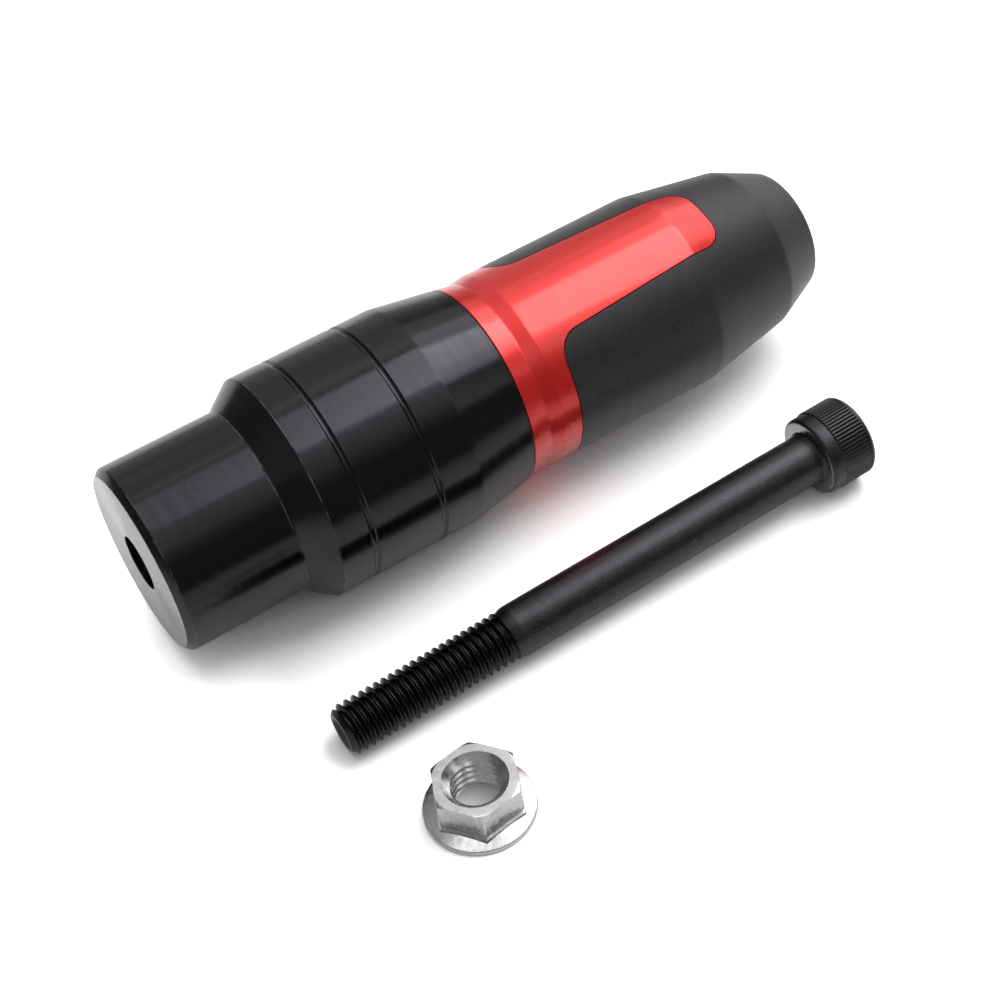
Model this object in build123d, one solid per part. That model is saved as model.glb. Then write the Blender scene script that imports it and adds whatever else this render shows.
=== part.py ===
from build123d import *
import math
import os

# Exhaust slider: the crash bobbin that a motorbike carries beside its exhaust, with its own
# screw and nut. A turned base carries a ring whose two fingers lie flush in a plastic nose.
# All sizes are in millimetres. X runs along the slider from its mounting face to its tip and
# Z is up. The slider lies on its barrel, and its screw and nut lie on the same flat surface.

# Base, from the mounting face to the ring
NECK_D = 36.2
NECK_L = 23.7
FACE_CHAMFER = 1.3
CONE_L = 5.3
BARREL_D = 44.0
BARREL_L = 29.2
TAPER_L = 12.7
TAPER_ANGLE = 9.4
NECK_FILLET = 1.0
EDGE_BREAK = 0.2

# Two shallow round grooves in the barrel, measured from its start
GROOVE_W = 1.3
GROOVE_DEPTH = 0.45
GROOVE_START = 6.8
GROOVE_PITCH = 14.2
GROOVE_COUNT = 2

# Ring: the taper runs on to a waist, and a short flare comes back out to the nose's diameter
WAIST_L = 4.1
FLARE_L = 2.9
HUB_L = 10.6

# Fingers, seen square on: straight sides that draw in towards a rounded end
FINGER_L = 39.9
FINGER_ROOT_W = 19.0
FINGER_END_W = 14.2
FINGER_ROOT_FILLET = 4.8
FINGER_END_FILLET = 4.0
FINGER_DEPTH = 3.8
FINGER_ROLL = 13.0
POCKET_GAP = 0.2

# Nose, from the ring to the tip: it runs level with the barrel, one step below it
NOSE_STEP = 2.3
NOSE_STRAIGHT_L = 32.5
SHOULDER_L = 19.2
SHOULDER_ANGLE = 9.6
TIP_L = 9.8
TIP_WALL = 2.84
TIP_RIM_FILLET = 1.5
MOUTH_CHAMFER = 0.6

# Bore, register and spigot that the screw clamps together
BOLT_HOLE_D = 10.6
REGISTER_D = 26.0
SPIGOT_D = 15.0
SPIGOT_L = 4.5
SPIGOT_CHAMFER = 0.4
COUNTERBORE_D = 18.5
FIT = 0.05

# Washer under the screw's head
WASHER_D = 18.0
WASHER_HOLE_D = 10.8
WASHER_T = 1.6
WASHER_EDGE = 0.25

# Socket head screw
SCREW_L = 101.6
SHANK_D = 9.8
THREAD_D = 9.5
THREAD_L = 33.5
THREAD_RUNOUT = 2.0
SCREW_END_CHAMFER = 1.1
HEAD_D = 15.8
HEAD_H = 10.0
HEAD_TOP_CHAMFER = 0.8
HEAD_BAND_D = 15.3
HEAD_BAND_L = 3.0
HEAD_SEAT_ROUND = 0.9
UNDERHEAD_FILLET = 0.4
SOCKET_AF = 8.0
SOCKET_DEPTH = 5.0
SOCKET_DRILL_ANGLE = 118.0

# Flange nut
NUT_AF = 14.0
NUT_H = 8.0
NUT_BORE_D = 8.5
NUT_MOUTH_D = 11.4
NUT_SEAT_MOUTH_D = 10.2
NUT_CHAMFER_ANGLE = 30.0
NUT_FACE_D = 14.6
FLANGE_D = 19.5
FLANGE_RIM_H = 1.1
FLANGE_SLOPE_ANGLE = 17.0
FLANGE_RIM_ROUND = 0.35

# Where the screw and the nut lie beside the slider
SCREW_END_X = 14.1
SCREW_END_Y = -41.8
SCREW_YAW = -0.55
NUT_X = 26.2
NUT_Y = -66.35
NUT_TURN = 6.0

# Stations along the slider and radii at them
NECK_END = NECK_L
CONE_END = NECK_END + CONE_L
BARREL_END = CONE_END + BARREL_L
RING_START = BARREL_END + TAPER_L
WAIST = RING_START + WAIST_L
FLARE_END = WAIST + FLARE_L
HUB_END = RING_START + HUB_L
FINGER_END = HUB_END + FINGER_L
STRAIGHT_END = HUB_END + NOSE_STRAIGHT_L
SHOULDER_END = STRAIGHT_END + SHOULDER_L
TIP = SHOULDER_END + TIP_L
SEAT = HUB_END + SPIGOT_L

NECK_R = NECK_D / 2
BARREL_R = BARREL_D / 2
NOSE_R = BARREL_R - NOSE_STEP
BORE_R = BOLT_HOLE_D / 2
REGISTER_R = REGISTER_D / 2
SPIGOT_R = SPIGOT_D / 2
FINGER_FLOOR_R = NOSE_R - FINGER_DEPTH
TABLE_Z = -BARREL_R


def taper_radius(station):
    """Radius of the long taper that base and ring share."""
    return BARREL_R - (station - BARREL_END) * math.tan(math.radians(TAPER_ANGLE))


def shoulder_radius(station):
    """Radius of the nose's first taper, which the finger ends share."""
    return NOSE_R - (station - STRAIGHT_END) * math.tan(math.radians(SHOULDER_ANGLE))


def turned(*corners):
    """Solid of revolution about X from its (station, radius) corners."""
    return revolve(make_face(Polyline(*corners, close=True)), Axis.X)


def corner(face, station, radius):
    """The corner of a flat outline nearest to a (station, radius) point."""
    return face.vertices().sort_by_distance((station, radius, 0))[0]


def barrel_groove(station):
    """Ring of round section that cuts one shallow groove into the barrel."""
    half = GROOVE_W / 2
    section_r = (half**2 + GROOVE_DEPTH**2) / (2 * GROOVE_DEPTH)
    centre = BARREL_R - GROOVE_DEPTH + section_r
    return Pos(station, 0, 0) * Rot(0, 90, 0) * Torus(centre, section_r)


def base():
    """Turned base: mounting face, neck, cone, grooved barrel, taper, register and spigot."""
    joint_r = taper_radius(RING_START)
    outline = make_face(
        Polyline(
            (0, BORE_R),
            (0, NECK_R - FACE_CHAMFER),
            (FACE_CHAMFER, NECK_R),
            (NECK_END, NECK_R),
            (CONE_END, BARREL_R),
            (BARREL_END, BARREL_R),
            (RING_START - EDGE_BREAK, taper_radius(RING_START - EDGE_BREAK)),
            (RING_START, joint_r - EDGE_BREAK),
            (RING_START, REGISTER_R),
            (HUB_END, REGISTER_R),
            (HUB_END, SPIGOT_R),
            (SEAT - SPIGOT_CHAMFER, SPIGOT_R),
            (SEAT, SPIGOT_R - SPIGOT_CHAMFER),
            (SEAT, BORE_R),
            close=True,
        )
    )
    outline = fillet(corner(outline, NECK_END, NECK_R), NECK_FILLET)
    outline = fillet(corner(outline, CONE_END, BARREL_R), EDGE_BREAK)
    body = revolve(outline, Axis.X)
    for index in range(GROOVE_COUNT):
        body -= barrel_groove(CONE_END + GROOVE_START + index * GROOVE_PITCH)
    return body


def finger_plan():
    """Ring hub and one finger seen square on, as an outline in the XY plane."""
    reach = BARREL_D
    root, end = FINGER_ROOT_W / 2, FINGER_END_W / 2
    outline = make_face(
        Polyline(
            (RING_START - reach, -reach),
            (HUB_END, -reach),
            (HUB_END, -root),
            (FINGER_END, -end),
            (FINGER_END, end),
            (HUB_END, root),
            (HUB_END, reach),
            (RING_START - reach, reach),
            close=True,
        )
    )
    for side in (-1, 1):
        outline = fillet(corner(outline, HUB_END, side * root), FINGER_ROOT_FILLET)
        outline = fillet(corner(outline, FINGER_END, side * end), FINGER_END_FILLET)
    return outline


def milled(plan):
    """Cutter that takes a plan right through the slider from both sides, at the ring's roll."""
    return Rot(FINGER_ROLL, 0, 0) * extrude(plan, BARREL_D, both=True)


def accent_ring():
    """Waisted ring with two opposite fingers that carry on the nose's own surface."""
    bore_r = REGISTER_R + FIT
    blank = turned(
        (RING_START, bore_r),
        (RING_START, taper_radius(RING_START) - EDGE_BREAK),
        (RING_START + EDGE_BREAK, taper_radius(RING_START + EDGE_BREAK)),
        (WAIST, taper_radius(WAIST)),
        (FLARE_END, NOSE_R),
        (STRAIGHT_END, NOSE_R),
        (FINGER_END, shoulder_radius(FINGER_END)),
        (FINGER_END, FINGER_FLOOR_R),
        (HUB_END, FINGER_FLOOR_R),
        (HUB_END, bore_r),
    )
    return blank & milled(finger_plan())


def nose():
    """Plastic nose: two tapers, rounded tip rim, counterbore for the screw, finger pockets."""
    counterbore_r = COUNTERBORE_D / 2
    tip_r = counterbore_r + TIP_WALL
    recess_r = WASHER_D / 2 + FIT
    spigot_bore_r = SPIGOT_R + FIT
    outline = make_face(
        Polyline(
            (HUB_END, spigot_bore_r),
            (HUB_END, NOSE_R),
            (STRAIGHT_END, NOSE_R),
            (SHOULDER_END, shoulder_radius(SHOULDER_END)),
            (TIP, tip_r),
            (TIP, counterbore_r + MOUTH_CHAMFER),
            (TIP - MOUTH_CHAMFER, counterbore_r),
            (SEAT + WASHER_T, counterbore_r),
            (SEAT + WASHER_T, recess_r),
            (SEAT, recess_r),
            (SEAT, spigot_bore_r),
            close=True,
        )
    )
    outline = fillet(corner(outline, TIP, tip_r), TIP_RIM_FILLET)
    body = revolve(outline, Axis.X)
    pocket_r = FINGER_FLOOR_R - FIT
    skin = turned(
        (RING_START, pocket_r),
        (TIP, pocket_r),
        (TIP, BARREL_R),
        (RING_START, BARREL_R),
    )
    return body - (skin & milled(offset(finger_plan(), POCKET_GAP)))


def seat_washer():
    """Flat steel washer at the counterbore's floor, against the spigot's end."""
    rim_r = WASHER_D / 2
    return turned(
        (SEAT, WASHER_HOLE_D / 2),
        (SEAT, rim_r - WASHER_EDGE),
        (SEAT + WASHER_EDGE, rim_r),
        (SEAT + WASHER_T - WASHER_EDGE, rim_r),
        (SEAT + WASHER_T, rim_r - WASHER_EDGE),
        (SEAT + WASHER_T, WASHER_HOLE_D / 2),
    )


def hexagon(across_flats, height):
    """Hexagonal prism standing on the XY plane."""
    return extrude(RegularPolygon(across_flats / 2, 6, major_radius=False), height)


def screw_at_origin():
    """Socket head screw along X, its threaded end at the origin."""
    shank_r, thread_r = SHANK_D / 2, THREAD_D / 2
    head_r, band_r = HEAD_D / 2, HEAD_BAND_D / 2
    top = SCREW_L + HEAD_H
    step = head_r - band_r
    outline = make_face(
        Polyline(
            (0, 0),
            (0, thread_r - SCREW_END_CHAMFER),
            (SCREW_END_CHAMFER, thread_r),
            (THREAD_L, thread_r),
            (THREAD_L + THREAD_RUNOUT, shank_r),
            (SCREW_L, shank_r),
            (SCREW_L, band_r),
            (SCREW_L + HEAD_BAND_L - step, band_r),
            (SCREW_L + HEAD_BAND_L, head_r),
            (top - HEAD_TOP_CHAMFER, head_r),
            (top, head_r - HEAD_TOP_CHAMFER),
            (top, 0),
            close=True,
        )
    )
    outline = fillet(corner(outline, SCREW_L, shank_r), UNDERHEAD_FILLET)
    outline = fillet(corner(outline, SCREW_L, band_r), HEAD_SEAT_ROUND)
    body = revolve(outline, Axis.X)
    socket = Pos(top, 0, 0) * Rot(0, -90, 0) * hexagon(SOCKET_AF, SOCKET_DEPTH)
    drill_depth = SOCKET_AF / 2 / math.tan(math.radians(SOCKET_DRILL_ANGLE / 2))
    drill = turned(
        (top - SOCKET_DEPTH, 0),
        (top - SOCKET_DEPTH, SOCKET_AF / 2),
        (top - SOCKET_DEPTH - drill_depth, 0),
    )
    return body - socket - drill


def mounting_screw():
    """The screw as it lies: the rims of its head and of its threaded end touch the surface."""
    rim_to_rim = SCREW_L + HEAD_BAND_L - SCREW_END_CHAMFER
    tilt = math.atan((HEAD_D - THREAD_D) / 2 / rim_to_rim)
    end_z = TABLE_Z + THREAD_D / 2 * math.cos(tilt) - SCREW_END_CHAMFER * math.sin(tilt)
    turned_to_lie = Rot(0, 0, SCREW_YAW) * Rot(0, -math.degrees(tilt), 0)
    return Pos(SCREW_END_X, SCREW_END_Y, end_z) * turned_to_lie * screw_at_origin()


def nut_blank():
    """Chamfered hexagon on a sloping flange, with no bore."""
    hex_corner_r = NUT_AF / 2 / math.cos(math.radians(30))
    flange_r = FLANGE_D / 2
    slope = math.tan(math.radians(FLANGE_SLOPE_ANGLE))
    flange_outline = make_face(
        Polyline(
            (0, 0),
            (flange_r, 0),
            (flange_r, FLANGE_RIM_H),
            (0, FLANGE_RIM_H + flange_r * slope),
            close=True,
        )
    )
    for height in (0, FLANGE_RIM_H):
        flange_outline = fillet(corner(flange_outline, flange_r, height), FLANGE_RIM_ROUND)
    drop = (hex_corner_r - NUT_FACE_D / 2) * math.tan(math.radians(NUT_CHAMFER_ANGLE))
    cap_outline = make_face(
        Polyline(
            (0, 0),
            (hex_corner_r, 0),
            (hex_corner_r, NUT_H - drop),
            (NUT_FACE_D / 2, NUT_H),
            (0, NUT_H),
            close=True,
        )
    )
    upright = Rot(90, 0, 0)
    cap = revolve(upright * cap_outline, Axis.Z)
    return revolve(upright * flange_outline, Axis.Z) + (cap & hexagon(NUT_AF, NUT_H))


def flange_nut():
    """Hexagon nut standing on its flange, countersunk at both ends of its bore."""
    bore_r = NUT_BORE_D / 2
    mouth = NUT_MOUTH_D / 2 - bore_r
    seat_mouth = NUT_SEAT_MOUTH_D / 2 - bore_r
    bore_outline = make_face(
        Polyline(
            (0, 0),
            (bore_r + seat_mouth, 0),
            (bore_r, seat_mouth),
            (bore_r, NUT_H - mouth),
            (bore_r + mouth, NUT_H),
            (0, NUT_H),
            close=True,
        )
    )
    bore = revolve(Rot(90, 0, 0) * bore_outline, Axis.Z)
    return Pos(NUT_X, NUT_Y, TABLE_Z) * Rot(0, 0, NUT_TURN) * (nut_blank() - bore)


PARTS = {
    "base": base,
    "accent_ring": accent_ring,
    "nose": nose,
    "seat_washer": seat_washer,
    "mounting_screw": mounting_screw,
    "flange_nut": flange_nut,
}

os.makedirs("parts", exist_ok=True)
for name, make in PARTS.items():
    export_step(make(), f"parts/{name}.step")
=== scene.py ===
"""Exhaust slider with its own screw and nut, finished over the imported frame.

A black turned base carries a red ring whose two fingers lie flush in a plastic nose. The screw
and the nut that hold it lie beside it. Lengths in the classes are in millimetres, along X from
the mounting face to the tip, and MM turns them into metres.
"""

import logging
import math
from collections.abc import Callable, Iterator, Sequence
from contextlib import contextmanager
from dataclasses import dataclass
from enum import Enum

import bmesh
import bpy
from mathutils import Matrix, Vector

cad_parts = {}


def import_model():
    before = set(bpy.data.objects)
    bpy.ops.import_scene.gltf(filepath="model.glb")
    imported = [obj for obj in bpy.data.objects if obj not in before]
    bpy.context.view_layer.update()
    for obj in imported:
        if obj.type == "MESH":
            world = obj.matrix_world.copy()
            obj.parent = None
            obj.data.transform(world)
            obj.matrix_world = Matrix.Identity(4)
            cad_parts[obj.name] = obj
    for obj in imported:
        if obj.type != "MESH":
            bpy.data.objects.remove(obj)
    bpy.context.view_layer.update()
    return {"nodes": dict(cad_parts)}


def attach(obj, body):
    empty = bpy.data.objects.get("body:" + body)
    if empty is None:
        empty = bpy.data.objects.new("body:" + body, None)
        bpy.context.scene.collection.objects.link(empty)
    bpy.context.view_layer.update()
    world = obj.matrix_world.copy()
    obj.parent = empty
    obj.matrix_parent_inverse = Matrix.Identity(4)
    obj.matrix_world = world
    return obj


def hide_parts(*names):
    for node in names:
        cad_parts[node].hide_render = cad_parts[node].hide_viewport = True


MM = 0.001
BODY = "root"
WELD = 1e-6

Colour = tuple[float, float, float]
Place = tuple[float, float, float]
Span = tuple[float, float]
Row = tuple[float, ...]  # a corner's fields, with the ease left out where it is 0
Piece = bpy.types.Object
Finish = bpy.types.Material
Socket = bpy.types.NodeSocket
Level = Socket | float | Colour

log = logging.getLogger("exhaust_slider")


class Sheet(Enum):
    """The plane that an outline is drawn in: along X, and out from X in the member's direction."""

    TURNING = (0.0, 0.0, 1.0)
    MILLING = (0.0, 1.0, 0.0)


class Cut(Enum):
    """How a tool acts on a piece."""

    REMOVE = "DIFFERENCE"
    KEEP = "INTERSECT"
    ADD = "UNION"


@dataclass(frozen=True)
class Corner:
    """A corner of an outline: its place in mm, and how far each side is cut back to round it."""

    along: float
    out: float
    ease: float = 0.0

    def point(self, sheet: Sheet) -> Vector:
        """Returns the corner's place in metres on the given sheet."""
        return Vector((self.along * MM, 0.0, 0.0)) + Vector(sheet.value) * self.out * MM


def clear_selection() -> None:
    """Leaves edit mode and deselects every object."""
    if bpy.context.mode != "OBJECT":
        bpy.ops.object.mode_set(mode="OBJECT")
    bpy.ops.object.select_all(action="DESELECT")


def take(piece: Piece) -> None:
    """Makes a piece the only selected object and the active one.

    Args:
        piece: The object to work on next.
    """
    clear_selection()
    piece.select_set(True)
    bpy.context.view_layer.objects.active = piece


@contextmanager
def editing(piece: Piece) -> Iterator[None]:
    """Holds a piece in edit mode, with nothing selected at first.

    Args:
        piece: The mesh object to edit.
    """
    take(piece)
    bpy.ops.object.mode_set(mode="EDIT")
    bpy.context.tool_settings.mesh_select_mode = (True, True, True)
    bpy.ops.mesh.select_all(action="DESELECT")
    yield
    bpy.ops.object.mode_set(mode="OBJECT")


def pick(piece: Piece, wanted: Callable[..., bool], faces: bool = False) -> int:
    """Selects the vertices or the faces of the edited piece that pass a test.

    Args:
        piece: The object in edit mode.
        wanted: Takes a vertex's place, or a face's centre and normal, and says whether it is wanted.
        faces: Whether faces are picked.

    Returns:
        How many are selected.
    """
    bpy.ops.mesh.select_all(action="DESELECT")
    bpy.context.tool_settings.mesh_select_mode = (not faces, False, faces)
    mesh = bmesh.from_edit_mesh(piece.data)
    for vertex in () if faces else mesh.verts:
        vertex.select = wanted(vertex.co)
    for face in mesh.faces if faces else ():
        face.select = wanted(face.calc_center_median(), face.normal)
    mesh.select_flush_mode()
    bmesh.update_edit_mesh(piece.data)
    return sum(item.select for item in (mesh.faces if faces else mesh.verts))


def apply_modifier(piece: Piece, kind: str, **settings: object) -> None:
    """Adds a modifier to a piece and applies it.

    Args:
        piece: The object that gets the modifier.
        kind: Blender's name of the modifier type.
        **settings: The modifier's own settings.
    """
    take(piece)
    modifier = piece.modifiers.new(kind.lower(), kind)
    for setting, value in settings.items():
        setattr(modifier, setting, value)
    bpy.ops.object.modifier_apply(modifier=modifier.name)


def draw_outline(
    name: str, *rows: Row, sheet: Sheet = Sheet.TURNING, closed: bool = True, facets: int = 4
) -> Piece:
    """Draws a chain of edges in edit mode and rounds the corners that ask for it.

    Args:
        name: The new object's name.
        *rows: The outline's corners in order.
        sheet: The plane to draw in.
        closed: Whether the last corner joins the first.
        facets: How many short edges make a rounded corner.

    Returns:
        The outline as an object with edges only.
    """
    corners = [Corner(*row) for row in rows]
    points = [corner.point(sheet) for corner in corners]
    clear_selection()
    bpy.ops.mesh.primitive_plane_add(size=MM, location=points[0])
    piece = bpy.context.active_object
    piece.name = piece.data.name = name
    bpy.ops.object.transform_apply(location=True, rotation=False, scale=False)
    with editing(piece):
        bpy.ops.mesh.select_all(action="SELECT")
        bpy.ops.mesh.merge(type="CENTER")
        for start, end in zip(points, points[1:]):
            bpy.ops.mesh.extrude_region_move(TRANSFORM_OT_translate={"value": end - start})
        if closed:
            ends = (points[0], points[-1])
            pick(piece, lambda place: min((place - end).length for end in ends) < WELD)
            bpy.ops.mesh.edge_face_add()
        for corner, point in zip(corners, points):
            if corner.ease:
                pick(piece, lambda place: (place - point).length < WELD)
                bpy.ops.mesh.bevel(offset=corner.ease * MM, segments=facets, affect="VERTICES")
    return piece


def turn(name: str, *rows: Row, steps: int, facets: int = 4) -> Piece:
    """Turns an outline about X, as on a lathe.

    Args:
        name: The new object's name.
        *rows: The outline's corners, by station and radius.
        steps: How many facets go round.
        facets: How many short edges make a rounded corner.

    Returns:
        The turned piece, welded and facing outwards.
    """
    piece = draw_outline(name, *rows, facets=facets)
    with editing(piece):
        bpy.ops.mesh.select_all(action="SELECT")
        bpy.ops.mesh.spin(
            steps=steps, angle=math.tau, center=(0, 0, 0), axis=(1, 0, 0), use_auto_merge=True
        )
        bpy.ops.mesh.select_all(action="SELECT")
        bpy.ops.mesh.remove_doubles(threshold=WELD)
        bpy.ops.mesh.normals_make_consistent(inside=False)
    return piece


def use_tool(piece: Piece, tool: Piece, cut: Cut) -> None:
    """Cuts, trims or joins a piece with a tool, which is used up."""
    apply_modifier(piece, "BOOLEAN", object=tool, operation=cut.value, solver="EXACT")
    bpy.data.objects.remove(tool)


def hexagonal_bar(name: str, across: float, low: float, high: float) -> Piece:
    """Makes a hexagonal bar along X, with two of its corners on the Y axis.

    Args:
        name: The new object's name.
        across: Its width across flats, mm.
        low: Station of its start.
        high: Station of its end.

    Returns:
        The bar.
    """
    clear_selection()
    bpy.ops.mesh.primitive_cylinder_add(
        vertices=6,
        radius=across / 2 / math.cos(math.radians(30)) * MM,
        depth=(high - low) * MM,
        location=((low + high) / 2 * MM, 0, 0),
        rotation=(0, math.radians(90), 0),
    )
    bar = bpy.context.active_object
    bar.name = name
    bpy.ops.object.transform_apply(location=True, rotation=True, scale=False)
    return bar


def lay_down(piece: Piece, lie: Matrix) -> None:
    """Moves a piece to where it lies and applies its place to its mesh.

    Args:
        piece: The piece as it was modelled, along X.
        lie: Where it lies.
    """
    piece.matrix_world = lie
    take(piece)
    bpy.ops.object.transform_apply(location=True, rotation=True, scale=True)


def even_shading(piece: Piece, angle: float = 30.0) -> None:
    """Smooths a piece up to an angle and keeps its flats flat.

    Args:
        piece: The finished mesh.
        angle: The sharpest angle in degrees that is still smoothed.
    """
    take(piece)
    bpy.ops.object.shade_smooth_by_angle(angle=math.radians(angle))
    apply_modifier(piece, "WEIGHTED_NORMAL", keep_sharp=True, weight=50)


def give_finish(piece: Piece, finish: Finish) -> None:
    """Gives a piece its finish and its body.

    Args:
        piece: The finished mesh.
        finish: Its main material.
    """
    piece.data.materials.clear()
    piece.data.materials.append(finish)
    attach(piece, BODY)


def face_with(piece: Piece, finish: Finish, wanted: Callable[[Vector, Vector], bool]) -> None:
    """Gives some faces of a piece a second finish.

    Args:
        piece: The piece, which has its main finish already.
        finish: The second material.
        wanted: Takes a face's centre and normal and says whether it gets the finish.
    """
    piece.data.materials.append(finish)
    with editing(piece):
        count = pick(piece, wanted, faces=True)
        piece.active_material_index = len(piece.data.materials) - 1
        bpy.ops.object.material_slot_assign()
    log.info("%s: %d faces in %s", piece.name, count, finish.name)


def distance_from_axis(place: Vector) -> float:
    """Returns how far a place in metres lies from the X axis, in mm."""
    return math.hypot(place.y, place.z) / MM


class ShaderBench:
    """One material's nodes, laid out by named steps."""

    def __init__(self, name: str, lie: Matrix | None = None) -> None:
        """Starts a material on a Principled surface.

        Args:
            name: The material's name.
            lie: Where the piece was laid down, so that patterns follow the piece's own axis.
        """
        self.material = bpy.data.materials.new(name)
        self.material.use_nodes = True
        self.tree = self.material.node_tree
        self.surface = self.tree.nodes["Principled BSDF"]
        self.place = self.add("ShaderNodeTexCoord").outputs["Object"]
        if lie is not None:
            back = lie.inverted()
            mapping = self.add("ShaderNodeMapping", Location=back.translation, Rotation=back.to_euler())
            self.link(self.place, mapping.inputs["Vector"])
            self.place = mapping.outputs[0]

    def add(self, kind: str, **inputs: object) -> bpy.types.Node:
        """Places a node and sets its inputs.

        Args:
            kind: Blender's name of the node type.
            **inputs: Input values by socket name, with _ for a space.

        Returns:
            The new node.
        """
        node = self.tree.nodes.new(kind)
        for socket, value in inputs.items():
            node.inputs[socket.replace("_", " ")].default_value = value
        return node

    def link(self, source: Socket, target: Socket) -> None:
        """Joins an output to an input."""
        self.tree.links.new(source, target)

    def put(self, value: Level, target: Socket) -> None:
        """Links a pattern to an input, or sets a plain number or colour on it.

        Args:
            value: The pattern, number or colour.
            target: The input.
        """
        if isinstance(value, Socket):
            self.link(value, target)
        else:
            target.default_value = (*value, 1) if isinstance(value, tuple) else value

    def set(self, **inputs: object) -> None:
        """Sets plain values on the surface itself, by socket name with _ for a space."""
        for socket, value in inputs.items():
            self.surface.inputs[socket.replace("_", " ")].default_value = value

    def drive(self, socket: str, source: Socket) -> None:
        """Lets a pattern drive one of the surface's inputs."""
        self.link(source, self.surface.inputs[socket])

    def sum_of(self, kind: str, *terms: Level) -> Socket:
        """Combines numbers with one Math node.

        Args:
            kind: The Math node's operation.
            *terms: Sockets or plain numbers.

        Returns:
            The result's socket.
        """
        node = self.add("ShaderNodeMath")
        node.operation = kind
        for index, term in enumerate(terms):
            self.put(term, node.inputs[index])
        return node.outputs[0]

    def axes(self) -> tuple[Socket, Socket]:
        """Splits the place into parts for turned work.

        Returns:
            The place along the turning axis, and the distance from that axis.
        """
        split = self.add("ShaderNodeSeparateXYZ")
        self.link(self.place, split.inputs[0])
        along, across, up = split.outputs
        squares = self.sum_of(
            "ADD", self.sum_of("MULTIPLY", across, across), self.sum_of("MULTIPLY", up, up)
        )
        return along, self.sum_of("SQRT", squares)

    def rings(self, pitch: float, detail: float = 2.0) -> Socket:
        """Marks that run round the turning axis, on the side and on the faces alike.

        Args:
            pitch: The mean distance from mark to mark, mm.
            detail: How many finer marks lie in each.

        Returns:
            A height from 0 to 1.
        """
        along, radius = self.axes()
        noise = self.add("ShaderNodeTexNoise", Scale=1 / (pitch * MM), Detail=detail)
        noise.noise_dimensions = "1D"
        self.link(self.sum_of("ADD", along, radius), noise.inputs["W"])
        return noise.outputs[0]

    def grain(self, size: float, detail: float = 2.0, stretch: Place = (1, 1, 1)) -> Socket:
        """Cloudy grain, drawn out where a stretch is under 1.

        Args:
            size: The grain's mean size, mm.
            detail: How much finer grain it holds.
            stretch: Scale of the pattern along each axis.

        Returns:
            A height from 0 to 1.
        """
        mapping = self.add("ShaderNodeMapping", Scale=stretch)
        self.link(self.place, mapping.inputs["Vector"])
        noise = self.add("ShaderNodeTexNoise", Scale=1 / (size * MM), Detail=detail)
        self.link(mapping.outputs[0], noise.inputs["Vector"])
        return noise.outputs[0]

    def remap(self, source: Socket, span: Span, to: Span) -> Socket:
        """Maps one span of numbers onto another, and stops at its ends.

        Args:
            source: The numbers.
            span: Their first and last value.
            to: What these two become.

        Returns:
            The mapped numbers.
        """
        node = self.add("ShaderNodeMapRange")
        self.link(source, node.inputs["Value"])
        for socket, value in zip(("From Min", "From Max", "To Min", "To Max"), (*span, *to)):
            node.inputs[socket].default_value = value
        return node.outputs[0]

    def blend(self, share: Socket, low: Level, high: Level) -> Socket:
        """Runs from one number or colour to another with a pattern.

        Args:
            share: The pattern, from 0 to 1.
            low: What there is where the pattern is 0.
            high: What there is where it is 1. A plain colour here makes a blend of colours.

        Returns:
            The blended number or colour.
        """
        node = self.add("ShaderNodeMix")
        self.link(share, node.inputs["Factor"])
        coloured = isinstance(high, tuple)
        node.data_type = "RGBA" if coloured else "FLOAT"
        first = 6 if coloured else 2
        self.put(low, node.inputs[first])
        self.put(high, node.inputs[first + 1])
        return node.outputs[2 if coloured else 0]

    def relief(self, *layers: tuple[Socket, float]) -> None:
        """Raises the surface by patterns, one over the other.

        Args:
            *layers: Each pattern with its height in mm.
        """
        normal = None
        for height, depth in layers:
            bump = self.add("ShaderNodeBump", Distance=depth * MM)
            self.link(height, bump.inputs["Height"])
            if normal is not None:
                self.link(normal, bump.inputs["Normal"])
            normal = bump.outputs[0]
        self.drive("Normal", normal)

    def bands(self, stations: Sequence[float], width: float) -> Socket:
        """Thin bands round the turning axis.

        Args:
            stations: Where the bands lie, mm.
            width: How wide each is, mm.

        Returns:
            1 in a band and 0 beside it.
        """
        along, _ = self.axes()
        found: Level = 0.0
        for station in stations:
            away = self.sum_of("ABSOLUTE", self.sum_of("SUBTRACT", along, station * MM))
            inside = self.remap(away, (width * 0.35 * MM, width * 0.6 * MM), (1.0, 0.0))
            found = self.sum_of("MAXIMUM", inside, found)
        return found

    def brush_round(self, amount: float) -> None:
        """Draws highlights out across the turning marks, which run round X.

        Args:
            amount: From 0, none, to 1, strongly drawn out.
        """
        tangent = self.add("ShaderNodeTangent")
        tangent.direction_type = "RADIAL"
        tangent.axis = "X"
        self.drive("Tangent", tangent.outputs[0])
        self.set(Anisotropic=amount, Anisotropic_Rotation=0.25)


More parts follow.
